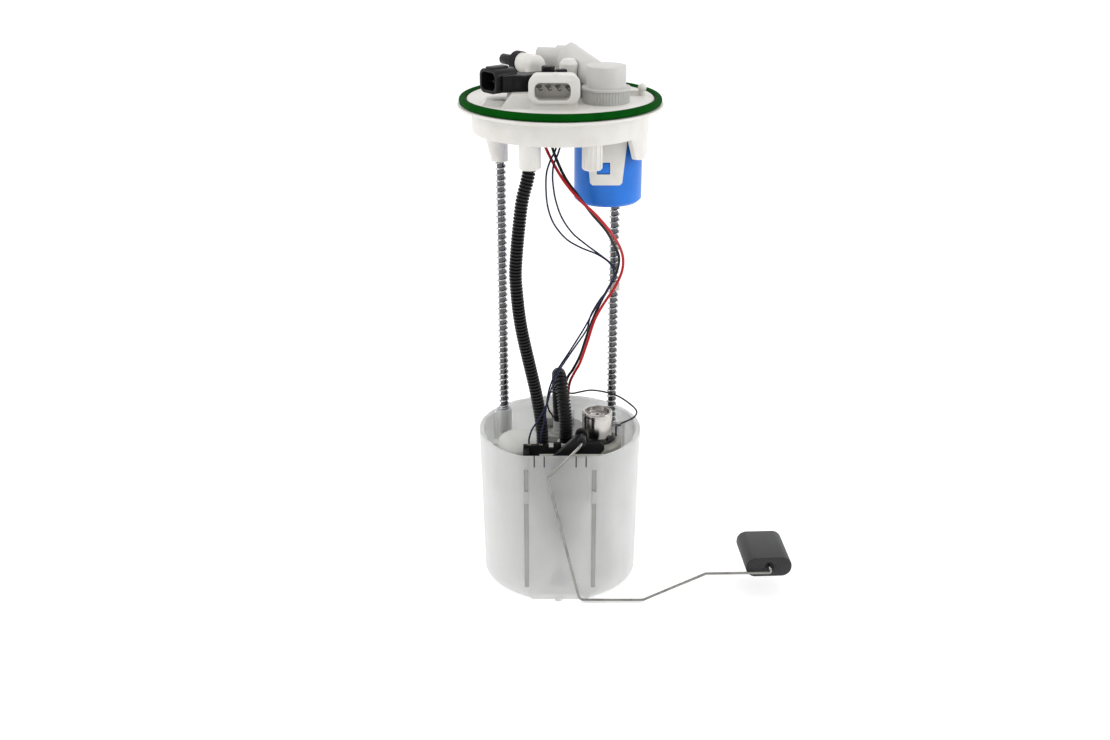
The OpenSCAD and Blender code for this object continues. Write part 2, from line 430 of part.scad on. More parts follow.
// ---- flange --------------------------------------------------------------
module leg(x, y, r, z) {
  translate([x, y, z]) cylinder(h = 1, r1 = r-0.8, r2 = r);
  translate([x, y, z+1]) cylinder(h = deck_lo-z, r = r);
}
module flange_cover() color([0.93, 0.92, 0.88]) difference() {
  union() {
    // Lip, raised disc and spigot
    difference() {
      union() {
        translate([0, 0, lip_z]) cylinder(h = 1.9, r1 = lip_r-5, r2 = lip_r, $fn = 128);
        translate([0, 0, lip_z+1.9]) cylinder(h = 1.4, r = lip_r, $fn = 128);
        translate([0, 0, lip_z+2]) cylinder(h = deck_z-lip_z-2.6, r = seal_r-seal_t, $fn = 128);
        translate([0, 0, deck_z-0.6]) cylinder(h = 0.6, r1 = seal_r-seal_t, r2 = seal_r-seal_t-0.6, $fn = 128);
        translate([0, 0, lip_z-skirt_h]) cylinder(h = skirt_h+2, r = skirt_r, $fn = 128);
      }
      translate([0, 0, lip_z-skirt_h-1]) cylinder(h = deck_lo-lip_z+skirt_h+1, r = skirt_r-2.6, $fn = 128);
    }
    // Rod sockets
    at(rod_l, sock_l) cylinder(h = deck_lo-sock_l+1, r = 5.1);
    at([-42.2, 24], sock_l) cylinder(h = 14.5, r1 = 3.8, r2 = 7.2);
    at([-42.2, 24], sock_l+14.5) cylinder(h = deck_lo-sock_l-13.5, r = 7.2);
    at(rod_rt, sock_r) cylinder(h = deck_lo-sock_r+1, r = 5.3);
    // Hose socket and blank leg
    leg(-19, -46, 6.9, 304.5);
    leg(19.5, -45.9, 6.4, 304.3);
    for (x = [-5, -2.5, 0, 2.5, 5]) translate([19.5+x, -45.9-sqrt(41-x*x), 305.5]) cylinder(h = 30, r = 0.45, $fn = 24);
    // Curved plate at the right, just inside the spigot's circle
    intersection() {
      translate([0.9, -0.4, 300]) ring(55.6, 52.9, 37.4);
      rotate([0, 0, -23.5]) rotate([90, 0, 90]) linear_extrude(60)
        polygon([[-14.6, 338], [-14.2, 319], [-9.8, 307.8], [-8.4, 306.5], [-2.5, 305.2], [2.4, 304.8], [4, 305.1], [13.1, 307.4], [13.3, 338]]);
    }
    // Tab that holds the vent valve, with its window
    difference() {
      translate([0, -25, 0]) rotate([90, 0, 0]) linear_extrude(2.4)
        polygon([[17.2, 337], [17.2, 306], [18.8, 291], [20.3, 289.5], [37.7, 289.5], [39.2, 291], [41.8, 316], [41.8, 337]]);
      translate([23, -30, 296.5]) cube([8.4, 8, 7.6]);
    }
    // Main connector with its pedestal
    difference() {
      union() {
        translate([-3.85, -41, 353.2]) rotate([90, 0, 0]) linear_extrude(4) rrect(31.5, 17.4, 5.8);
        translate([-3.85, -27, 353.2]) rotate([90, 0, 0]) linear_extrude(14.5) rrect(28.6, 14.8, 4);
      }
      translate([-4.9, -31, 351.7]) rotate([90, 0, 0]) linear_extrude(16) rrect(22, 10.8, 3.6);
    }
    translate([-18, -43.6, deck_z-1]) cube([28.4, 18.6, 6]);
    translate([-12, -27.5, deck_z-1]) cube([20, 7, 13]);
    translate([-4.2, -44.6, 361.2]) cube([2.5, 3, 1.4]);
    // Sensor bracket and low platform
    translate([0, -31.4, 0]) rotate([90, 0, 0]) linear_extrude(9)
      polygon([[-37, deck_z-1], [-30, 349.4], [-18, 349.4], [-18, deck_z-1]]);
    translate([0, -13, 0]) rotate([90, 0, 0]) linear_extrude(18)
      polygon([[-50, deck_z-1], [-46.5, 343.6], [-33, 343.6], [-31, deck_z-1]]);
    at([-25.9, -24.5], deck_z-1) cylinder(h = 11, r = 7.4);
    // Outlet port
    port_at() cylinder(h = 18.6, r = 6.2);
    at(port_c, deck_z-1) cylinder(h = 20.4, r = 6.4);
    translate([port_c[0], port_c[1], 360]) sphere(6.4);
    // Boss in front of the vent elbow
    at([5.2, 0], deck_z-1) cylinder(h = 22, r = 5.9);
    at([5.2, 0], deck_z+21) cylinder(h = 2.9, r1 = 5.9, r2 = 3.6);
    // Post and rib at the right
    at([52.5, 5], deck_z-1) cylinder(h = 6, r = 1.9, $fn = 32);
    translate([52.5, 5, 345.4]) sphere(2.8, $fn = 32);
    translate([44, 4.2, deck_z-1]) cube([8, 1.6, 4]);
    // Seat ring of the vent tower
    at(tower_c, deck_z-1) cylinder(h = 9, r = 14.4);
  }
  for (c = [rod_l, rod_rt]) at(c, 280) cylinder(h = 48, r = rod_r);
  at(rod_l, 285) cylinder(h = 12, r = coil_ro+0.3);
  at(rod_rt, 285) cylinder(h = 16, r = coil_ro+0.3);
  at([-19, -46], 300) cylinder(h = 32, r = 3);
  at([-19, -46], 300) cylinder(h = 10, r = 4.7);
  port_at() translate([0, 0, 3]) cylinder(h = 20, r = 3.2);
  at(vent_c, 330) cylinder(h = 22, r = 6.4);
  // Pocket that receives the vent valve
  at(can_c, 322) cylinder(h = 14.4, r = 22.3);
}
module seal_ring() color([0.05, 0.35, 0.1]) translate([0, 0, lip_z+3.3+seal_t]) rotate_extrude($fn = 128)
  translate([seal_r, 0]) circle(seal_t, $fn = 32);
module main_terminals() color([0.55, 0.5, 0.42]) for (i = [0:3])
  translate([-13+5.8*i-1.3, -41.5, 352.6]) cube([2.6, 10.5, 0.8]);
module sensor_at() translate([-47.6, -34.6, 356.4]) rotate([0, 0, 25]) children();
module pressure_sensor() color([0.07, 0.07, 0.08]) sensor_at() difference() {
  union() {
    shell_at() rotate([90, 0, 90]) linear_extrude(16.5) rrect(17.2, 14.8, 4.6);
    translate([11, -6, -7]) cube([13, 13, 10]);
    translate([24, 0, -6.8]) cylinder(h = 9.6, r = 8);
    translate([24, -4.6, -2.8]) cube([31, 9.2, 5.4]);
    shell_at() translate([0.6, -3, 7]) cube([13, 6, 1.6]);
    translate([50, -2.4, 2]) cube([6, 4.8, 1.6]);
  }
  shell_at() translate([-1, 0, 0]) rotate([90, 0, 90]) linear_extrude(11) rrect(13.4, 11, 3);
}
module shell_at() rotate([0, 0, -25]) translate([2.9, 5.7, -1]) rotate([0, 0, 40]) children();
module sensor_terminals() color([0.75, 0.62, 0.35]) sensor_at()
  shell_at() for (y = [-3, 0, 3]) translate([4, y-0.4, -1]) cube([6, 0.8, 1]);
module sensor_cap() color([0.06, 0.06, 0.07]) sensor_at() {
  translate([44, 0, 2.6]) cylinder(h = 3.2, r = 4.3);
  translate([44, 0, 5.8]) cylinder(h = 0.6, r1 = 4.3, r2 = 3.7);
}
module port_at() translate([port_c[0], port_c[1], 360]) rotate([0, 0, 131]) rotate([0, 90, 0]) children();
module outlet_stub() color([0.08, 0.08, 0.09]) port_at() difference() {
  union() {
    translate([0, 0, 15]) cylinder(h = 6.8, r = 3.2);
    translate([0, 0, 21.7]) cylinder(h = 10.8, r = 3.4);
  }
  translate([0, 0, 14]) cylinder(h = 20, r = 1.9);
}
module outlet_collar() color([0.07, 0.07, 0.08]) port_at() translate([0, 0, 18.6]) ring(5.3, 3.2, 3.1);
vent_a = [5, 27, 360.8];
module vent_at() translate(vent_a) rotate([0, 0, 164]) rotate([0, 90, 0]) children();
module vent_elbow() color([0.94, 0.93, 0.9]) difference() {
  union() {
    at(tower_c, deck_z+8) cylinder(h = 1.5, r = 15.4);
    at(tower_c, deck_z+9.4) cylinder(h = 13.2, r = 12.4);
    rod_to([27, -12, 352.4], [6, 24, 361.4], 9.2);
    rod_to([6.4, 26.1, 360.6], [3.8, 27.8, 361.7], 9.7);
    vent_at() translate([0, 0, -3]) cylinder(h = 10.4, r = 7.9);
    vent_at() cylinder(h = 20.4, r = 6.3);
    // Web under the duct
    translate([27, -12, 0]) rotate([0, 0, 120.26]) translate([0, 5, 0]) rotate([90, 0, 0]) linear_extrude(10)
      polygon([[6, deck_z], [41, deck_z], [41, 359], [6, 352]]);
  }
  at(tower_c, deck_z-2) cylinder(h = 10, r = 15.6);
  at([5.2, 0], deck_z-1) cylinder(h = 30, r = 6.1);
  at(vent_c, deck_z+6) cylinder(h = 10, r = 6.4);
  rod_to([27, -12, 353], [7, 22.3, 361], 5.8);
  vent_at() translate([0, 0, 1.6]) cylinder(h = 21, r = 4.4);
}
module vent_valve_case() color([0.16, 0.44, 0.86]) difference() {
  union() {
    at(can_c, 276) cylinder(h = 60.4, r = 22);
    at(can_c, 274) cylinder(h = 2, r1 = 20, r2 = 22);
    translate([23.4, -27.5, 297.2]) cube([7.6, 5, 6.4]);
  }
  at(can_c, 276.4) cylinder(h = 57, r = 20);
  at([31, -1.6], 270) cylinder(h = 8, r = 3);
  at(vent_c, 330) cylinder(h = 10, r = 4);
}
module vent_seal() color([0.1, 0.1, 0.1]) at(vent_c, 336.5) ring(6.2, 4.2, 3);
module vent_spring() color([0.7, 0.7, 0.72]) at(can_c, 276.4) ring(7, 6.2, 9.6);
module vent_float() color([0.9, 0.9, 0.88]) at(can_c, 286) difference() {
  cylinder(h = 38, r = 18.6);
  translate([0, 0, -1]) cylinder(h = 32, r = 14);
  translate([0, 0, 30]) cylinder(h = 4, r1 = 14, r2 = 10);
}
module guide_rods() color([0.78, 0.79, 0.81]) for (c = [rod_l, rod_rt]) at(c, rod_z0) difference() {
  cylinder(h = 328-rod_z0, r = rod_r);
  translate([0, 0, 5]) ring(4, 2, 1);
}
module rod_clips() color([0.25, 0.25, 0.27]) for (c = [rod_l, rod_rt]) at(c, rod_z0+5) difference() {
  cylinder(h = 1, r = 4.6);
  translate([0, 0, -1]) cylinder(h = 3, r = 2);
  translate([0, -1.4, -1]) cube([8, 2.8, 3]);
}
module guide_springs() color([0.72, 0.73, 0.75]) {
  at(rod_l, boss_top_l) ring(coil_ro, coil_ri, 297-boss_top_l);
  at(rod_rt, boss_top_r) ring(coil_ro, coil_ri, 301-boss_top_r);
}
module supply_hose() color([0.1, 0.1, 0.11]) sweep(smooth(hose_pts, 4), hose_r, 12, [1, 0, 0]);
module power_wire_red() color([0.75, 0.08, 0.1]) sweep(smooth(red_pts, 3), power_r, 8, [0, 1, 0]);
module power_wire_black() color([0.08, 0.08, 0.09]) sweep(smooth(black_pts, 3), power_r, 8, [0, 1, 0]);
module sender_wire_a() color([0.1, 0.1, 0.3]) sweep(smooth(thin_a, 3), signal_r, 8, [0, 1, 0]);
module sender_wire_b() color([0.1, 0.1, 0.3]) sweep(smooth(thin_b, 3), signal_r, 8, [0, 1, 0]);
module cable_clip() color([0.93, 0.93, 0.9]) difference() {
  translate([34.4, 15.9, 204.6]) cube([6.6, 4, 4.8]);
  translate([37, 24, 200]) cylinder(h = 12, r = 4.2);
  rod_to([32.3, 16.4, 204.2], [35.5, 17.2, 210.3], 1.4);
  rod_to([33.2, 18.9, 204.2], [36.6, 19.4, 210.3], 1.05);
}

reservoir_cup();
inlet_screen();
inlet_valve();
pump_isolator();
pump_case();
pump_inlet_cap();
pump_outlet_cap();
pump_magnets();
pump_brushes();
pump_sock();
pump_plug();
check_valve_spring();
check_valve();
armature_core();
motor_shaft();
commutator();
impeller();
filter_housing();
filter_element();
jet_pump();
regulator_holder();
regulator_can();
regulator_seal();
regulator_clip();
regulator_spring();
regulator_valve();
transfer_hose();
ground_wire();
ground_tab();
sender_frame();
sender_card();
sender_terminals();
arm_rotor();
wiper();
arm_wire();
float();
flange_cover();
seal_ring();
main_terminals();
pressure_sensor();
sensor_terminals();
sensor_cap();
outlet_stub();
outlet_collar();
vent_elbow();
vent_valve_case();
vent_seal();
vent_spring();
vent_float();
guide_rods();
rod_clips();
guide_springs();
supply_hose();
power_wire_red();
power_wire_black();
sender_wire_a();
sender_wire_b();
cable_clip();
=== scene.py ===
import bpy, bmesh, json, math
from mathutils import Vector, Matrix, noise


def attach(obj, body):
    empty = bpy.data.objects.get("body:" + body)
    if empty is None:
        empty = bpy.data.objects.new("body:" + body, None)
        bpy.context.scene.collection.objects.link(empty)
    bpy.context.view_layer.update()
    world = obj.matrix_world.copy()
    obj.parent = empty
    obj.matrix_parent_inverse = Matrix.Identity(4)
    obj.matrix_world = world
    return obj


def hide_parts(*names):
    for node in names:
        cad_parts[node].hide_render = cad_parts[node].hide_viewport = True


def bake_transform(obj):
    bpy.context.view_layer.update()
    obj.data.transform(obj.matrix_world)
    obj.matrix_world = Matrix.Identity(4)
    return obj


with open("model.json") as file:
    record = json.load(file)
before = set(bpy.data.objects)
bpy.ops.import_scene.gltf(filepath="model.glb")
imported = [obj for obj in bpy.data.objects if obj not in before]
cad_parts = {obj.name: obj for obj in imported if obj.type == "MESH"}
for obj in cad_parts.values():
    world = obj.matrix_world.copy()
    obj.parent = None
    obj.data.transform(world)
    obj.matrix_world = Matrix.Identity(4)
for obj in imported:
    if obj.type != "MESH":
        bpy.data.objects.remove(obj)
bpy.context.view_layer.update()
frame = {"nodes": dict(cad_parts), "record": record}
MM = 0.001
scene = bpy.context.scene

# ---------------------------------------------------------------- camera
cam_data = bpy.data.cameras.new("camera")
cam_data.sensor_width = 36.0
cam_data.lens = 36.0 * 1350.0 / 1110.0
cam_data.clip_start, cam_data.clip_end = 0.01, 50.0
cam = bpy.data.objects.new("camera", cam_data)
scene.collection.objects.link(cam)
cam.matrix_world = (Matrix.Translation((-0.003458, -0.866396, 0.501988))
                    @ Matrix.Rotation(math.radians(68.0), 4, "X"))
scene.camera = cam
scene.view_settings.view_transform = "Standard"
scene.view_settings.look = "None"


# ---------------------------------------------------------------- materials
class Graph:
    """A small helper to wire a procedural material."""

    def __init__(self, name):
        self.mat = bpy.data.materials.new(name)
        self.mat.use_nodes = True
        self.t = self.mat.node_tree
        self.n = self.t.nodes
        self.bsdf = self.n["Principled BSDF"]
        self.coord = self.n.new("ShaderNodeTexCoord").outputs["Object"]

    def link(self, a, b):
        self.t.links.new(a, b)

    def noise(self, scale, detail=4.0, rough=0.55, vector=None, distortion=0.0):
        node = self.n.new("ShaderNodeTexNoise")
        node.inputs["Scale"].default_value = scale
        node.inputs["Detail"].default_value = detail
        node.inputs["Roughness"].default_value = rough
        node.inputs["Distortion"].default_value = distortion
        self.link(vector or self.coord, node.inputs["Vector"])
        return node.outputs["Fac"]

    def voronoi(self, scale, feature="F1", vector=None):
        node = self.n.new("ShaderNodeTexVoronoi")
        node.feature = feature
        node.inputs["Scale"].default_value = scale
        self.link(vector or self.coord, node.inputs["Vector"])
        return node.outputs["Distance"]

    def stretch(self, sx, sy, sz):
        node = self.n.new("ShaderNodeMapping")
        node.inputs["Scale"].default_value = (sx, sy, sz)
        self.link(self.coord, node.inputs["Vector"])
        return node.outputs["Vector"]

    def ramp(self, fac, stops):
        node = self.n.new("ShaderNodeValToRGB")
        els = node.color_ramp.elements
        while len(els) < len(stops):
            els.new(0.5)
        for e, (p, c) in zip(els, stops):
            e.position = p
            e.color = (c[0], c[1], c[2], 1.0)
        self.link(fac, node.inputs["Fac"])
        return node.outputs["Color"]

    def remap(self, fac, lo, hi, a=0.3, b=0.7):
        node = self.n.new("ShaderNodeMapRange")
        node.inputs["From Min"].default_value = a
        node.inputs["From Max"].default_value = b
        node.inputs["To Min"].default_value = lo
        node.inputs["To Max"].default_value = hi
        self.link(fac, node.inputs["Value"])
        return node.outputs["Result"]

    def add(self, a, b, op="ADD", k=None):
        node = self.n.new("ShaderNodeMath")
        node.operation = op
        self.link(a, node.inputs[0])
        if k is None:
            self.link(b, node.inputs[1])
        else:
            node.inputs[1].default_value = k
        return node.outputs[0]

    def bump(self, height, distance, strength=1.0):
        node = self.n.new("ShaderNodeBump")
        node.inputs["Distance"].default_value = distance
        node.inputs["Strength"].default_value = strength
        self.link(height, node.inputs["Height"])
        self.link(node.outputs["Normal"], self.bsdf.inputs["Normal"])

    def set(self, **kw):
        for k, v in kw.items():
            self.bsdf.inputs[k.replace("_", " ")].default_value = v


def shade(c, k):
    return tuple(min(1.0, max(0.0, x * k)) for x in c)


def moulded(name, colour, rough=0.42, var=0.05, cloud=55.0, grain=1400.0, depth=0.00004, sss=0.0,
            coat=0.0, spec=0.5, transmission=0.0, tint=None):
    """Injection-moulded plastic: soft colour drift, fine spark-eroded grain, uneven gloss."""
    g = Graph(name)
    big = g.noise(cloud, 3.0)
    other = tint or shade(colour, 1 - 2 * var)
    g.link(g.ramp(big, [(0.30, other), (0.55, colour), (0.78, shade(colour, 1 + var))]), g.bsdf.inputs["Base Color"])
    fine = g.noise(grain, 6.0, 0.6)
    flow = g.noise(1.0, 3.0, 0.5, vector=g.stretch(90.0, 90.0, 25.0))
    mixed = g.add(fine, g.add(flow, None, "MULTIPLY", 0.6))
    g.link(g.remap(mixed, rough - 0.07, rough + 0.09, 0.5, 1.1), g.bsdf.inputs["Roughness"])
    g.bump(mixed, depth)
    g.set(IOR=1.48)
    g.bsdf.inputs["Specular IOR Level"].default_value = spec
    if sss:
        g.bsdf.inputs["Subsurface Weight"].default_value = sss
        g.bsdf.inputs["Subsurface Radius"].default_value = (1.0, 0.9, 0.75)
        g.bsdf.inputs["Subsurface Scale"].default_value = 0.0025
    if coat:
        g.bsdf.inputs["Coat Weight"].default_value = coat
        g.bsdf.inputs["Coat Roughness"].default_value = 0.15
    if transmission:
        g.bsdf.inputs["Transmission Weight"].default_value = transmission
    return g.mat


def rubber(name, colour, rough=0.55, grain=2600.0, depth=0.00003, speck=0.10, spec=0.4, sheen=0.12):
    g = Graph(name)
    fine = g.noise(grain, 7.0, 0.65)
    cloud = g.noise(120.0, 4.0)
    g.link(g.ramp(cloud, [(0.3, shade(colour, 1 - speck)), (0.7, shade(colour, 1 + speck))]), g.bsdf.inputs["Base Color"])
    g.link(g.remap(fine, rough - 0.1, rough + 0.12), g.bsdf.inputs["Roughness"])
    g.bump(fine, depth)
    g.set(IOR=1.5)
    g.bsdf.inputs["Specular IOR Level"].default_value = spec
    g.bsdf.inputs["Sheen Weight"].default_value = sheen
    return g.mat


def metal(name, colour, rough=0.25, drawn=(1.0, 1.0, 1.0), var=0.08, depth=0.00001, stain=None, scale=900.0):
    g = Graph(name)
    line = g.noise(scale, 5.0, 0.6, vector=g.stretch(*drawn))
    cloud = g.noise(140.0, 5.0)
    low = stain or shade(colour, 1 - 2 * var)
    g.link(g.ramp(cloud, [(0.28, low), (0.5, colour), (0.8, shade(colour, 1 + var))]), g.bsdf.inputs["Base Color"])
    g.link(g.remap(line, rough * 0.75, rough * 1.35), g.bsdf.inputs["Roughness"])
    g.bump(line, depth)
    g.set(Metallic=1.0)
    return g.mat


def foam(name, colour):
    """Fine closed-cell rubber foam with its moulded skin."""
    g = Graph(name)
    cells = g.voronoi(1500.0)
    fine = g.noise(700.0, 6.0, 0.6)
    cloud = g.noise(90.0, 5.0)
    mix = g.add(cells, fine)
    g.link(g.ramp(cloud, [(0.3, shade(colour, 0.85)), (0.55, colour), (0.8, shade(colour, 1.2))]), g.bsdf.inputs["Base Color"])
    g.link(g.remap(mix, 0.62, 0.9, 0.4, 1.2), g.bsdf.inputs["Roughness"])
    g.bump(mix, 0.00018)
    g.bsdf.inputs["Sheen Weight"].default_value = 0.18
    g.bsdf.inputs["Sheen Roughness"].default_value = 0.6
    return g.mat


def milky(name, colour, transmission=0.5, rough=0.5, sss=0.25, sheen=0.0, painted_shading=0.0):
    """Translucent natural polymer: light passes softly and dark things behind show as soft shapes."""
    g = Graph(name)
    big = g.noise(38.0, 3.0)
    base = g.ramp(big, [(0.3, shade(colour, 0.955)), (0.55, colour), (0.8, shade(colour, 1.03))])
    if painted_shading:
        # Painted shade and painted light: the colour is darkened over the upper front wall, where black pieces stand
        # behind it, and lightened towards the foot and the sides
        parts = g.n.new("ShaderNodeSeparateXYZ")
        g.link(g.coord, parts.inputs["Vector"])
        side = g.add(g.add(parts.outputs["X"], None, "ABSOLUTE", 0.0), None, "MULTIPLY", 26.0)
        foot = g.add(parts.outputs["Z"], None, "MULTIPLY", -9.0)
        level = g.add(side, foot)
        mix = g.n.new("ShaderNodeMix")
        mix.data_type, mix.blend_type = "RGBA", "MULTIPLY"
        mix.inputs["Factor"].default_value = 1.0
        g.link(base, mix.inputs["A"])
        g.link(g.ramp(g.remap(level, 0.0, 1.0, -0.95, 0.9), [(0.0, (painted_shading, painted_shading, painted_shading)), (0.46, (1.0, 1.0, 1.0)), (1.0, (1.13, 1.13, 1.13))]), mix.inputs["B"])
        base = mix.outputs["Result"]
    g.link(base, g.bsdf.inputs["Base Color"])
    fine = g.noise(1100.0, 6.0, 0.6)
    flow = g.noise(1.0, 3.0, 0.5, vector=g.stretch(60.0, 60.0, 18.0))
    mixed = g.add(fine, flow)
    g.link(g.remap(mixed, rough - 0.06, rough + 0.08, 0.7, 1.3), g.bsdf.inputs["Roughness"])
    g.bump(mixed, 0.00004)
    g.bsdf.inputs["IOR"].default_value = 1.42
    g.bsdf.inputs["Transmission Weight"].default_value = transmission
    g.bsdf.inputs["Subsurface Weight"].default_value = sss
    g.bsdf.inputs["Subsurface Radius"].default_value = (1.0, 0.95, 0.88)
    g.bsdf.inputs["Subsurface Scale"].default_value = 0.003
    g.bsdf.inputs["Sheen Weight"].default_value = sheen
    g.bsdf.inputs["Sheen Roughness"].default_value = 0.35
    return g.mat


M = {}
M["white"] = moulded("acetal_white", (0.65, 0.635, 0.605), rough=0.42, var=0.035, sss=0.10, tint=(0.60, 0.58, 0.545))
M["white_elbow"] = moulded("acetal_elbow", (0.525, 0.518, 0.50), rough=0.5, var=0.03, sss=0.10)
# Darker grey acetal: painted shade for the band under the vent tower's plate
M["tower_painted_shade_band"] = moulded("acetal_painted_shade", (0.47, 0.47, 0.45), rough=0.5, var=0.04)
# The cup's colour carries painted shade over its upper front wall and painted light at its foot and sides
M["cup"] = milky("milky_cup", (0.82, 0.825, 0.815), transmission=0.62, rough=0.40, sss=0.15, sheen=0.6, painted_shading=0.69)
M["filter"] = milky("milky_filter", (0.66, 0.66, 0.63), transmission=0.25, rough=0.45, sss=0.15)
M["beige"] = moulded("beige_holder", (0.215, 0.205, 0.18), rough=0.32, var=0.10, sss=0.05)
M["grey"] = moulded("grey_cap", (0.27, 0.27, 0.26), rough=0.42, var=0.06)
M["blue"] = moulded("blue_valve_case", (0.010, 0.150, 0.585), rough=0.38, var=0.07, tint=(0.008, 0.124, 0.50), sss=0.03, spec=0.3)
M["black"] = moulded("black_plastic", (0.0045, 0.0045, 0.005), rough=0.38, var=0.15, spec=0.22)
M["black_matt"] = moulded("black_matt_plastic", (0.004, 0.004, 0.0045), rough=0.5, var=0.15, spec=0.16)
M["rubber"] = rubber("black_rubber", (0.005, 0.005, 0.0055))
M["green"] = rubber("green_seal", (0.0004, 0.055, 0.0025), rough=0.7, speck=0.14, spec=0.03, sheen=0.0)
M["float"] = foam("float_foam", (0.0052, 0.0054, 0.0066))
M["hose"] = moulded("hose_nylon", (0.0028, 0.0028, 0.0034), rough=0.34, var=0.2, grain=1800.0, spec=0.3)
M["red"] = moulded("wire_red", (0.42, 0.0025, 0.006), rough=0.42, var=0.06, spec=0.3)
M["wire_black"] = moulded("wire_black", (0.003, 0.003, 0.0035), rough=0.4, var=0.1, spec=0.3)
M["navy"] = moulded("wire_navy", (0.0065, 0.0085, 0.036), rough=0.42, var=0.1, spec=0.22)
M["steel"] = metal("drawn_steel", (0.56, 0.56, 0.57), rough=0.16, drawn=(1.0, 1.0, 0.06), stain=(0.44, 0.44, 0.45))
M["rod"] = metal("rod_steel", (0.10, 0.10, 0.105), rough=0.16, drawn=(1.0, 1.0, 0.06), stain=(0.07, 0.07, 0.07))
M["spring"] = metal("spring_steel", (0.46, 0.46, 0.47), rough=0.22, stain=(0.28, 0.275, 0.27))
M["chrome"] = metal("bright_plate", (0.50, 0.48, 0.46), rough=0.2, var=0.05, drawn=(1.0, 1.0, 0.15), stain=(0.40, 0.385, 0.37))
M["pump_steel"] = metal("rolled_steel", (0.50, 0.51, 0.53), rough=0.3, drawn=(1.0, 1.0, 0.1))
M["dark_steel"] = metal("dark_steel", (0.05, 0.05, 0.055), rough=0.34)
M["light_steel"] = metal("contact_strip", (0.085, 0.085, 0.088), rough=0.5)
M["arm_steel"] = metal("arm_steel", (0.27, 0.265, 0.25), rough=0.2, drawn=(1.0, 1.0, 0.06), stain=(0.18, 0.175, 0.165))
# Grey for the bottoms of the reservoir's grooves: painted shade
M["groove"] = moulded("groove_shade", (0.36, 0.36, 0.35), rough=0.6, var=0.05)
M["brass"] = metal("brass", (0.55, 0.40, 0.18), rough=0.3)
M["tin"] = metal("tinned_contact", (0.42, 0.38, 0.30), rough=0.34)
M["mesh"] = moulded("mesh_cloth", (0.55, 0.53, 0.46), rough=0.7, var=0.1, grain=3200.0, depth=0.00012)
M["ceramic"] = moulded("ceramic", (0.66, 0.65, 0.60), rough=0.25, var=0.03)


# ---------------------------------------------------------------- mesh helpers
def make(name, verts, faces, mat, body=None, sharp=35.0):
    me = bpy.data.meshes.new(name)
    me.from_pydata([tuple(v) for v in verts], [], faces)
    me.validate()
    me.update()
    me.shade_smooth()
    me.set_sharp_from_angle(angle=math.radians(sharp))
    me.materials.append(M[mat])
    ob = bpy.data.objects.new(name, me)
    scene.collection.objects.link(ob)
    if body:
        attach(ob, body)
    return ob


def smooth_path(p, k):
    """Catmull-Rom curve through the points, k steps to a span."""
    p = [Vector(q) for q in p]
    n = len(p) - 1
    out = []
    for i in range(n):
        a = p[i - 1] if i else 2 * p[0] - p[1]
        b, c = p[i], p[i + 1]
        d = p[i + 2] if i + 2 <= n else 2 * p[n] - p[n - 1]
        for j in range(k):
            t = j / k
            out.append(0.5 * ((2 * b) + (c - a) * t + (2 * a - 5 * b + 4 * c - d) * t * t + (3 * b - a - 3 * c + d) * t ** 3))
    out.append(p[n])
    return out


def resample(pts, step):
    """Equal steps along a polyline."""
    acc = [0.0]
    for a, b in zip(pts, pts[1:]):
        acc.append(acc[-1] + (b - a).length)
    total = acc[-1]
    n = max(2, int(round(total / step)))
    out, j = [], 0
    for i in range(n + 1):
        s = total * i / n
        while j < len(acc) - 2 and acc[j + 1] < s:
            j += 1
        d = acc[j + 1] - acc[j]
        out.append(pts[j].lerp(pts[j + 1], (s - acc[j]) / d if d else 0.0))
    return out, total


def rounded_path(p, r, k):
    """Polyline with arcs of radius r at its corners."""
    p = [Vector(q) for q in p]
    out = [p[0]]
    for i in range(1, len(p) - 1):
        a, b = (p[i - 1] - p[i]), (p[i + 1] - p[i])
        la, lb = a.length, b.length
        a.normalize(), b.normalize()
        h = a.angle(b) / 2
        d = min(r / math.tan(h), 0.45 * min(la, lb))
        rr = d * math.tan(h)
        c = p[i] + (a + b).normalized() * rr / math.sin(h)
        s, e = p[i] + a * d - c, p[i] + b * d - c
        q = s.angle(e)
        for j in range(k + 1):
            t = j / k
            out.append(c + (math.sin((1 - t) * q) * s + math.sin(t * q) * e) / math.sin(q))
    out.append(p[-1])
    return out


def sweep(name, pts, radius, sides, mat, body=None, cap=True, flat=1.0):
    """Tube along pts (mm). radius is a number or a list, one per point."""
    n = len(pts)
    tang = [(pts[min(i + 1, n - 1)] - pts[max(i - 1, 0)]).normalized() for i in range(n)]
    up = Vector((1, 0, 0)) if abs(tang[0].x) < 0.8 else Vector((0, 1, 0))
    u = (up - up.dot(tang[0]) * tang[0]).normalized()
    verts, faces = [], []
    for i in range(n):
        u = (u - u.dot(tang[i]) * tang[i]).normalized()
        v = tang[i].cross(u)
        r = radius[i] if isinstance(radius, (list, tuple)) else radius
        for j in range(sides):
            a = 2 * math.pi * j / sides
            verts.append((pts[i] + r * (math.cos(a) * u + math.sin(a) * v * flat)) * MM)
    for i in range(n - 1):
        for j in range(sides):
            k = (j + 1) % sides
            faces.append((i * sides + j, i * sides + k, (i + 1) * sides + k, (i + 1) * sides + j))
    if cap:
        faces.append(tuple(reversed(range(sides))))
        faces.append(tuple((n - 1) * sides + j for j in range(sides)))
    return make(name, verts, faces, mat, body)


def corrugated(name, route, crest, valley, pitch, cuff, mat, body=None, sides=28):
    """Corrugated hose with plain cuffs of the given length (mm) at both ends."""
    base, total = resample(smooth_path(route, 12), pitch / 9.0)
    n = len(base)
    step = total / (n - 1)
    radii = []
    for i in range(n):
        s = i * step
        if s < cuff or s > total - cuff:
            radii.append(crest * 0.97)
            continue
        ph = ((s - cuff) / pitch) % 1.0
        w = 0.5 - 0.5 * math.cos(2 * math.pi * ph)
        w = min(1.0, max(0.0, (w - 0.12) / 0.62))
        w = w * w * (3 - 2 * w)
        radii.append(valley + (crest - valley) * w)
    return sweep(name, base, radii, sides, mat, body)


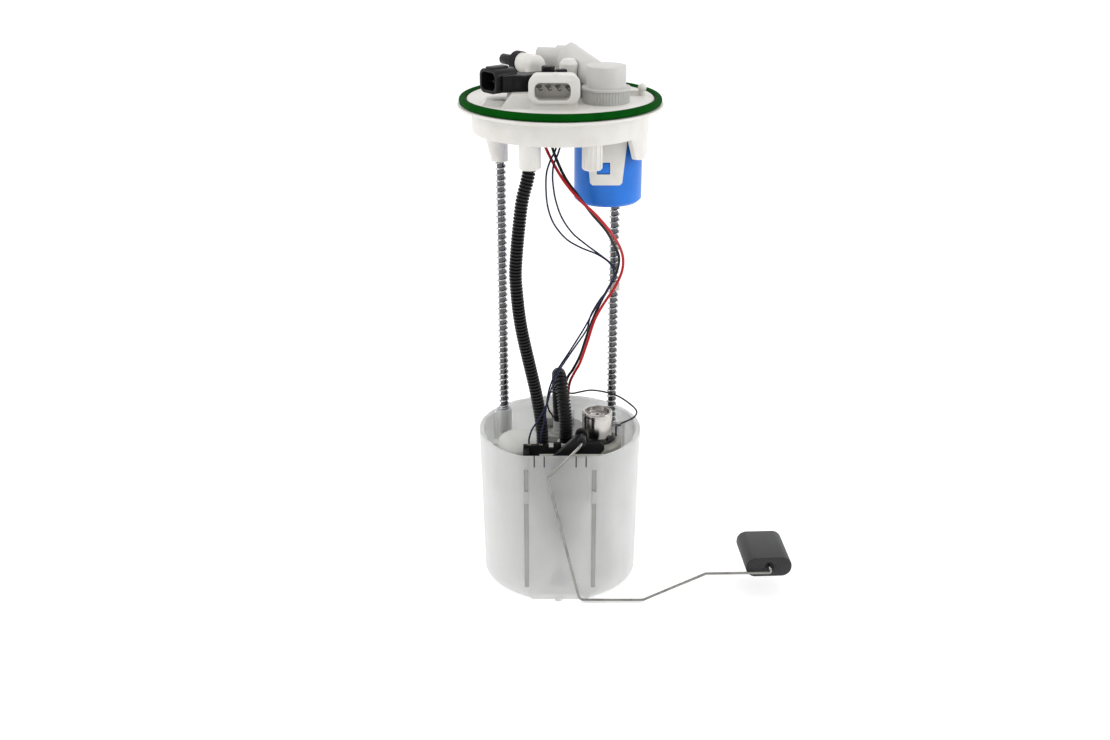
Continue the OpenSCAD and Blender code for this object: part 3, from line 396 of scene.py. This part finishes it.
def lathe(name, profile, centre, mat, body=None, seg=96, sharp=35.0, closed=True):
    """Surface of revolution about a vertical axis; profile is (r, z) in mm, outside first, anticlockwise."""
    verts, faces = [], []
    m = len(profile)
    for i in range(seg):
        a = 2 * math.pi * i / seg
        for r, z in profile:
            verts.append(((centre[0] + r * math.cos(a)) * MM, (centre[1] + r * math.sin(a)) * MM, z * MM))
    for i in range(seg):
        k = (i + 1) % seg
        for j in range(m if closed else m - 1):
            l = (j + 1) % m
            faces.append((i * m + j, k * m + j, k * m + l, i * m + l))
    ob = make(name, verts, faces, mat, None, sharp)
    bm = bmesh.new()
    bm.from_mesh(ob.data)
    bmesh.ops.remove_doubles(bm, verts=bm.verts, dist=1e-7)
    bmesh.ops.recalc_face_normals(bm, faces=bm.faces)
    bm.to_mesh(ob.data)
    bm.free()
    if body:
        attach(ob, body)
    return ob


def coil(name, centre, z0, z1, r_mid, r_wire, pitch, mat, sides=8, per_turn=22, dead=1.6):
    """Compression spring with closed ends."""
    pts = []
    turns_live = (z1 - z0 - 2 * dead * 2 * r_wire) / pitch
    total = turns_live + 2 * dead
    n = int(total * per_turn)
    z = z0 + r_wire
    live = (z1 - z0 - 2 * r_wire - 2 * dead * 2.0 * r_wire) / turns_live
    for i in range(n + 1):
        t = total * i / n
        a = 2 * math.pi * t
        pts.append(Vector((centre[0] + r_mid * math.cos(a), centre[1] + r_mid * math.sin(a), z)))
        rate = 2.0 * r_wire if (t < dead or t > total - dead) else live
        z += rate * total / n
    k = (z1 - r_wire - pts[0].z) / (pts[-1].z - pts[0].z)
    z_start = pts[0].z
    for q in pts:
        q.z = z_start + (q.z - z_start) * k
    return sweep(name, pts, r_wire, sides, mat)


def refine(node, mat, bevel=0.35, seg=2, body=None, angle=32.0, name=None):
    """A copy of a CAD node with rounded edges, which stands for it."""
    src = frame["nodes"][node]
    me = src.data.copy()
    bm = bmesh.new()
    bm.from_mesh(me)
    bmesh.ops.remove_doubles(bm, verts=bm.verts, dist=2e-6)
    bmesh.ops.dissolve_limit(bm, angle_limit=math.radians(0.6), use_dissolve_boundaries=False,
                             verts=bm.verts, edges=bm.edges)
    bm.normal_update()
    bm.to_mesh(me)
    bm.free()
    me.materials.clear()
    me.materials.append(M[mat])
    ob = bpy.data.objects.new(name or node + "_body", me)
    scene.collection.objects.link(ob)
    if bevel:
        mod = ob.modifiers.new("round", "BEVEL")
        mod.width = bevel * MM
        mod.segments = seg
        mod.limit_method = "ANGLE"
        mod.angle_limit = math.radians(angle)
        mod.use_clamp_overlap = True
        mod.harden_normals = False
        bpy.context.view_layer.update()
        dg = bpy.context.evaluated_depsgraph_get()
        done = bpy.data.meshes.new_from_object(ob.evaluated_get(dg))
        ob.modifiers.clear()
        ob.data = done
    ob.data.shade_smooth()
    ob.data.set_sharp_from_angle(angle=math.radians(40.0))
    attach(ob, body or body_of[node])
    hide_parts(node)
    return ob


body_of = {}
for b, nodes in frame["record"]["behaviour"]["bodies"].items():
    for nd in nodes:
        body_of[nd] = b


def paint(node, mat):
    """Gives a CAD node that stays its material."""
    ob = frame["nodes"][node]
    ob.data.materials.clear()
    ob.data.materials.append(M[mat])


# ---------------------------------------------------------------- plain CAD nodes that stay
for node, mat in {
    "inlet_screen": "mesh", "inlet_valve": "rubber", "pump_inlet_cap": "black", "pump_magnets": "dark_steel",
    "pump_brushes": "brass", "pump_sock": "mesh", "check_valve_spring": "spring", "check_valve": "brass",
    "armature_core": "pump_steel", "motor_shaft": "steel", "commutator": "brass", "impeller": "black_matt",
    "filter_element": "mesh", "regulator_spring": "spring", "regulator_valve": "brass", "sender_card": "ceramic",
    "sender_terminals": "tin", "wiper": "brass", "vent_seal": "rubber", "vent_spring": "spring",
    "vent_float": "beige", "rod_clips": "dark_steel", "regulator_seal": "rubber", "ground_tab": "dark_steel",
    "sensor_terminals": "dark_steel", "main_terminals": "tin", "guide_rods": "rod", "seal_ring": "green",
    "pump_case": "pump_steel", "pump_isolator": "rubber", "regulator_clip": "dark_steel",
}.items():
    paint(node, mat)

# ---------------------------------------------------------------- rounded copies of moulded pieces
refine("reservoir_cup", "cup", 0.45)
refine("flange_cover", "white", 0.45)
refine("vent_elbow", "white_elbow", 0.6)
refine("vent_valve_case", "blue", 0.8)
refine("pressure_sensor", "black", 0.4)
refine("sensor_cap", "black", 0.3)
refine("outlet_stub", "black", 0.3)
refine("outlet_collar", "black_matt", 0.5)
refine("filter_housing", "filter", 0.5)
refine("regulator_holder", "beige", 0.5)
refine("jet_pump", "black", 0.4)
refine("pump_outlet_cap", "grey", 0.4)
refine("pump_plug", "grey", 0.4)
refine("sender_frame", "black_matt", 0.4)
refine("arm_rotor", "black", 0.5)
refine("float", "float", 0.9, seg=3)

# ---------------------------------------------------------------- chrome regulator can
rx, ry = 25.7, -15.0
can = [(10.3, 97.0), (10.3, 108.5), (9.95, 109.0), (9.95, 110.2), (10.3, 110.7), (10.3, 124.6), (10.15, 125.6), (10.3, 126.2),
       (10.3, 127.2), (10.0, 127.8), (9.5, 128.0), (8.7, 128.0), (8.25, 127.7), (8.1, 127.1), (8.1, 125.2), (7.8, 124.6),
       (7.2, 124.3), (5.4, 124.2), (5.0, 124.5), (4.6, 125.2), (4.0, 125.5), (1.6, 125.5), (1.2, 125.2), (1.2, 123.2),
       (9.0, 122.6), (9.4, 121.6), (9.4, 99.2), (3.0, 98.6), (3.0, 97.0)]
ob = lathe("regulator_can_body", can, (rx, ry), "chrome", "reservoir", seg=96, sharp=30.0)
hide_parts("regulator_can")

# ---------------------------------------------------------------- guide springs
left = coil("guide_spring_left", (-40.0, 24.0), 112.5, 297.0, 3.14, 0.55, 4.15, "spring", sides=10)
right = coil("guide_spring_right", (37.0, 24.0), 100.0, 301.0, 3.14, 0.55, 4.15, "spring", sides=10)
for ob in (left, right):
    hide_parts("guide_springs")
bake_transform(left)
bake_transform(right)

# ---------------------------------------------------------------- hoses and wires
hose_pts = [[-19,-46,310], [-19.6,-46,303], [-21,-45.6,296], [-24,-45,284], [-26.4,-44,265], [-28,-42.6,248], [-28.8,-41,234], [-28,-40,220],
  [-26.8,-38,206], [-25,-36.2,193], [-22.6,-34.4,180], [-19.6,-32.4,165], [-16.6,-31,150], [-14,-29.8,134], [-12.2,-29,118], [-12,-29,105.3]]
red_pts = [[-12,-17,336], [-11.6,-18,325], [-10,-20,314], [-3,-23.6,300], [4,-27.6,290], [13,-30,280], [23,-28,270], [32,-18,257],
  [39,-4,243], [42.4,5,231], [42,12,219], [37.4,14.6,207], [30,12.4,196], [23.6,5.4,186.4], [18.8,1.6,172], [14,2,157],
  [9.8,6,147], [6.8,12,137], [5.8,17,124], [5.2,19.6,114], [5,20,108.4]]
black_pts = [[-7,-15,336], [-6.4,-17,325], [-5.4,-18.4,313], [-1.4,-20.6,302], [4,-24.4,292], [11,-26.6,283], [20,-25,270.5], [30,-14.6,256],
  [36,-1.4,242], [39.6,5,231.6], [38.8,14.6,219], [34.4,17.2,208], [28,13.4,197], [21.8,8.6,184], [17.4,5,172], [14,4.6,161],
  [9.2,7.6,149.6], [5.4,13,141], [3,15.6,130], [2.2,18.6,118], [2,20,108.4]]
thin_a = [[0,-18,336],[-0.6,-20,324],[-3,-24,312],[-6,-25.4,306],[-8.8,-25,297],[-9.2,-22,285],[-8,-17,272],[-4,-10,259],
  [4,-3,247],[14,3.4,239],[25,8,233],[33,9.4,227],[36.4,10,221],[36.2,11,213.4],[32,11,206],[24.2,6.6,195],
  [16.2,0.4,182],[6.2,-8.6,168.6],[-2.6,-17.6,157.6],[-7.2,-25,148.6],[-9,-31.4,140],[-10.8,-36,129],[-13,-37.8,119],[-13,-37.5,113.4]]
thin_b = [[3,-16,336],[2.4,-19,324],[-1,-24.6,311],[-4.2,-26.6,303],[-5,-24,295],[-4.6,-19,287],[-3,-13.6,276],[1,-8,263],
  [8,-1,250.6],[17,5,241],[26,10.6,232.6],[34,15,225],[38.4,18,218.6],[37,19.4,211],[33,18.8,204],[27.4,16.6,197.4],
  [21.8,11,189.6],[19.8,4.8,185.8],[17.8,-1.2,181.4],[7.4,-9.8,168.6],[-1.4,-18.8,157.6],[-6,-26.4,148.6],[-9,-33.8,140.6],[-14,-37.6,132],
  [-19,-38.4,124],[-21,-37.9,117],[-21,-37.5,113.4]]
loop_pts = [[-5,18,108.4],[-5.6,13.6,112],[-7.8,8,118.3],[-9,6,126],[-7.4,5,132.4],[-2,0.4,136],[3.4,-3.4,136.4],[9,-4.6,136.4],
  [14,-4,137.2],[22,0,136.8],[32,4,133.6],[41,4,130.4],[49,0.4,126.2],[53.4,-4,122.8],[52,-7,119.8],[47,-9,117.6],
  [42.2,-10.2,115.9]]
arch_pts = [[0,10,110],[-0.4,9.8,120],[-0.8,9,131],[-1,6.6,141],[-1,2.4,147.4],[-0.6,-3,149.6],[0.4,-8.6,147.6],[1.8,-13.4,141],
  [3,-16.4,131],[4,-17.6,119],[4.2,-18,106]]

ob = corrugated("supply_hose_body", hose_pts, 4.2, 2.95, 2.3, 2.6, "hose")
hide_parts("supply_hose")
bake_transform(ob)
ob = corrugated("transfer_hose_body", arch_pts, 4.7, 3.4, 2.3, 2.6, "hose", "reservoir")
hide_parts("transfer_hose")

for name, pts, r, mat, node, lo in (("red_wire", red_pts, 0.95, "red", "power_wire_red", 0.108),
                                    ("black_wire", black_pts, 0.95, "wire_black", "power_wire_black", 0.108),
                                    ("sender_lead_a", thin_a, 0.6, "navy", "sender_wire_a", 0.1134),
                                    ("sender_lead_b", thin_b, 0.6, "navy", "sender_wire_b", 0.1134)):
    path, _ = resample(smooth_path(pts, 12), 1.2)
    ob = sweep(name, path, r, 14, mat)
    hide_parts(node)
    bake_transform(ob)
path, _ = resample(smooth_path(loop_pts, 12), 0.9)
ob = sweep("ground_lead", path, 0.6, 12, "wire_black", "reservoir")
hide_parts("ground_wire")

# float arm
arm_pts = [[14.3,-41,119.5],[14.3,-53,119.5],[-8.5,-56,96.6],[13.6,-56,2.2],[57.7,-56,2.2],[100.6,-56,23.2],
  [141,-56.6,24.2],[145.6,-57,24.4],[144.3,-57,28],[142.9,-30,28]]
path, _ = resample(rounded_path(arm_pts, 4.0, 10), 1.0)
ob = sweep("float_arm_wire", path, 0.9, 18, "arm_steel", "float_arm")
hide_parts("arm_wire")

# cable clip, which keeps its place on the wires
src = frame["nodes"]["cable_clip"]
me = src.data.copy()
me.materials.clear()
me.materials.append(M["filter"])
ob = bpy.data.objects.new("wire_clip", me)
scene.collection.objects.link(ob)
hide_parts("cable_clip")
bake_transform(ob)

# ---------------------------------------------------------------- small visual pieces
# Ribbed band round the seat of the vent tower, coloured darker grey as painted shade under the overhang of the tower's
# plate
cx, cy = 28.6, -17.0
verts, faces = [], []
n, prof = 288, [(14.2, 340.7), (0.0, 340.9), (0.0, 348.3), (14.2, 348.5)]
for i in range(n):
    a = 2 * math.pi * i / n
    out = 14.5 + (0.32 if i % 6 < 3 else 0.0)
    for r, z in prof:
        r = r or out
        verts.append(((cx + r * math.cos(a)) * MM, (cy + r * math.sin(a)) * MM, z * MM))
for i in range(n):
    k = (i + 1) % n
    for j in range(4):
        l = (j + 1) % 4
        faces.append((i * 4 + j, k * 4 + j, k * 4 + l, i * 4 + l))
make("tower_painted_shade_band", verts, faces, "tower_painted_shade_band", "flange", sharp=25.0)


def slab(name, axis_u, axis_v, axis_w, origin, du, dv, dw, mat, body):
    """Box from its corner along three directions (mm)."""
    u, v, w, o = (Vector(q) for q in (axis_u, axis_v, axis_w, origin))
    vs = [(o + u * du * a + v * dv * b + w * dw * c) * MM for a in (0, 1) for b in (0, 1) for c in (0, 1)]
    fs = [(0, 1, 3, 2), (4, 6, 7, 5), (0, 4, 5, 1), (2, 3, 7, 6), (0, 2, 6, 4), (1, 5, 7, 3)]
    return make(name, vs, fs, mat, body)


# Contact strip along the upper edge of the rotor's bar
h = math.sqrt(0.5)
along, up = (-h, 0, -h), (-h, 0, h)
hub_mm = Vector((14.3, -44.4, 119.5))
slab("rotor_edge", along, up, (0, 1, 0), hub_mm + Vector(up) * 2.8, 27.0, 1.1, 2.6, "black", "float_arm")
slab("rotor_strip", along, up, (0, 1, 0), hub_mm + Vector(up) * 3.9 + Vector(along) * 0.5, 24.0, 0.9, 1.8, "light_steel", "float_arm")

# Painted shade: dark slabs at the bottoms of the slots and grooves in the reservoir's front wall stand in for the
# shade inside them
for i, x in enumerate((-17.4, -10.7, 10.7, 17.4)):
    slab("slot_shade_%d" % (i + 1), (1, 0, 0), (0, 1, 0), (0, 0, 1), (x - 0.36, -50.9, 102.0), 0.72, 1.6, 7.1, "black_matt", "reservoir")
for i, x in enumerate((-23.0, 23.0)):
    slab("groove_shade_%d" % (2 * i + 1), (1, 0, 0), (0, 1, 0), (0, 0, 1), (x - 1.45, -48.95, 8.2), 2.9, 0.25, 65.6, "groove", "reservoir")
    slab("groove_shade_%d" % (2 * i + 2), (1, 0, 0), (0, 1, 0), (0, 0, 1), (x - 1.45, -48.95, 83.2), 2.9, 0.25, 16.2, "groove", "reservoir")

# Black collar pushed over the end of the outlet boss
port = Vector((-16.0, 4.5, 360.0))
out = Vector((math.cos(math.radians(131.0)), math.sin(math.radians(131.0)), 0.0))
side = Vector((-out.y, out.x, 0.0))
prof = [(6.23, 13.4), (6.6, 13.4), (6.85, 13.7), (6.85, 18.7), (6.5, 19.1), (5.36, 19.1), (5.36, 18.64), (6.23, 18.64)]
verts, faces = [], []
n, m = 72, len(prof)
for i in range(n):
    a = 2 * math.pi * i / n
    ray = side * math.cos(a) + Vector((0.0, 0.0, math.sin(a)))
    verts += [(port + out * t + ray * r) * MM for r, t in prof]
for i in range(n):
    k = (i + 1) % n
    for j in range(m):
        l = (j + 1) % m
        faces.append((i * m + j, i * m + l, k * m + l, k * m + j))
make("outlet_sleeve", verts, faces, "black_matt", "flange", sharp=30.0)

# Bent contact tongues in the main connector
for i in range(4):
    x = -13.0 + 5.8 * i
    pts, _ = resample(smooth_path([(x - 2.2, -43.2, 355.4), (x - 0.9, -43.2, 353.9), (x + 0.4, -43.2, 352.4), (x + 2.1, -43.2, 352.9)], 8), 0.3)
    sweep("contact_tongue_%d" % (i + 1), pts, 0.3, 10, "dark_steel", "flange")

# ---------------------------------------------------------------- stage and light
me = bpy.data.meshes.new("studio_floor")
me.from_pydata([(-12, -12, 0), (12, -12, 0), (12, 12, 0), (-12, 12, 0)], [], [(0, 1, 2, 3)])
g = Graph("studio_floor")
g.link(g.ramp(g.noise(3.0, 2.0), [(0.3, (0.90, 0.90, 0.90)), (0.7, (0.92, 0.92, 0.92))]), g.bsdf.inputs["Base Color"])
g.set(Roughness=0.9)
g.bsdf.inputs["Emission Color"].default_value = (1.0, 1.0, 1.0, 1.0)
g.bsdf.inputs["Emission Strength"].default_value = 0.22
me.materials.append(g.mat)
floor = bpy.data.objects.new("studio_floor", me)
scene.collection.objects.link(floor)

WORLD_LOW, WORLD_SPAN = 0.55, 0.62
world = bpy.data.worlds.new("studio")
world.use_nodes = True
wt = world.node_tree
bg = wt.nodes["Background"]
direction = wt.nodes.new("ShaderNodeTexCoord").outputs["Generated"]
split = wt.nodes.new("ShaderNodeSeparateXYZ")
wt.links.new(direction, split.inputs["Vector"])


def world_math(op, a, b):
    node = wt.nodes.new("ShaderNodeMath")
    node.operation = op
    for i, v in enumerate((a, b)):
        if isinstance(v, (int, float)):
            node.inputs[i].default_value = v
        else:
            wt.links.new(v, node.inputs[i])
    return node.outputs[0]


def world_step(value, lo, hi, a, b):
    node = wt.nodes.new("ShaderNodeMapRange")
    node.interpolation_type = "SMOOTHSTEP"
    node.inputs["From Min"].default_value = lo
    node.inputs["From Max"].default_value = hi
    node.inputs["To Min"].default_value = a
    node.inputs["To Max"].default_value = b
    wt.links.new(value, node.inputs["Value"])
    return node.outputs["Result"]


# A white tent that is open towards the viewer: dim low in front, bright above, behind and at the sides
front = world_step(split.outputs["Y"], -0.95, 0.1, 0.0, 1.0)
high = world_step(split.outputs["Z"], 0.15, 0.75, 0.0, 0.62)
level = world_math("ADD", world_math("MULTIPLY", world_math("MAXIMUM", world_math("MULTIPLY", front, world_step(split.outputs["Z"], 0.35, 0.85, 1.0, 0.62)), high), WORLD_SPAN), WORLD_LOW)
wt.links.new(level, bg.inputs["Strength"])
bg.inputs["Color"].default_value = (1.0, 1.0, 1.0, 1.0)
scene.world = world


def area(name, loc, target, size, energy, size_y=None, colour=(1, 1, 1)):
    data = bpy.data.lights.new(name, "AREA")
    data.shape = "RECTANGLE"
    data.size, data.size_y = size, size_y or size
    data.energy = energy
    data.color = colour
    ob = bpy.data.objects.new(name, data)
    scene.collection.objects.link(ob)
    ob.location = loc
    ob.rotation_mode = "QUATERNION"
    ob.rotation_quaternion = (Vector(target) - Vector(loc)).to_track_quat("-Z", "Y")
    return ob


area("key_left", (-1.5, -0.5, 1.3), (0, 0, 0.2), 0.9, 9.0)
area("fill_right", (1.6, -0.5, 0.9), (0, 0, 0.2), 0.8, 9.0)
area("top_soft", (0.0, 0.1, 1.9), (0, 0, 0.2), 1.4, 3.0)
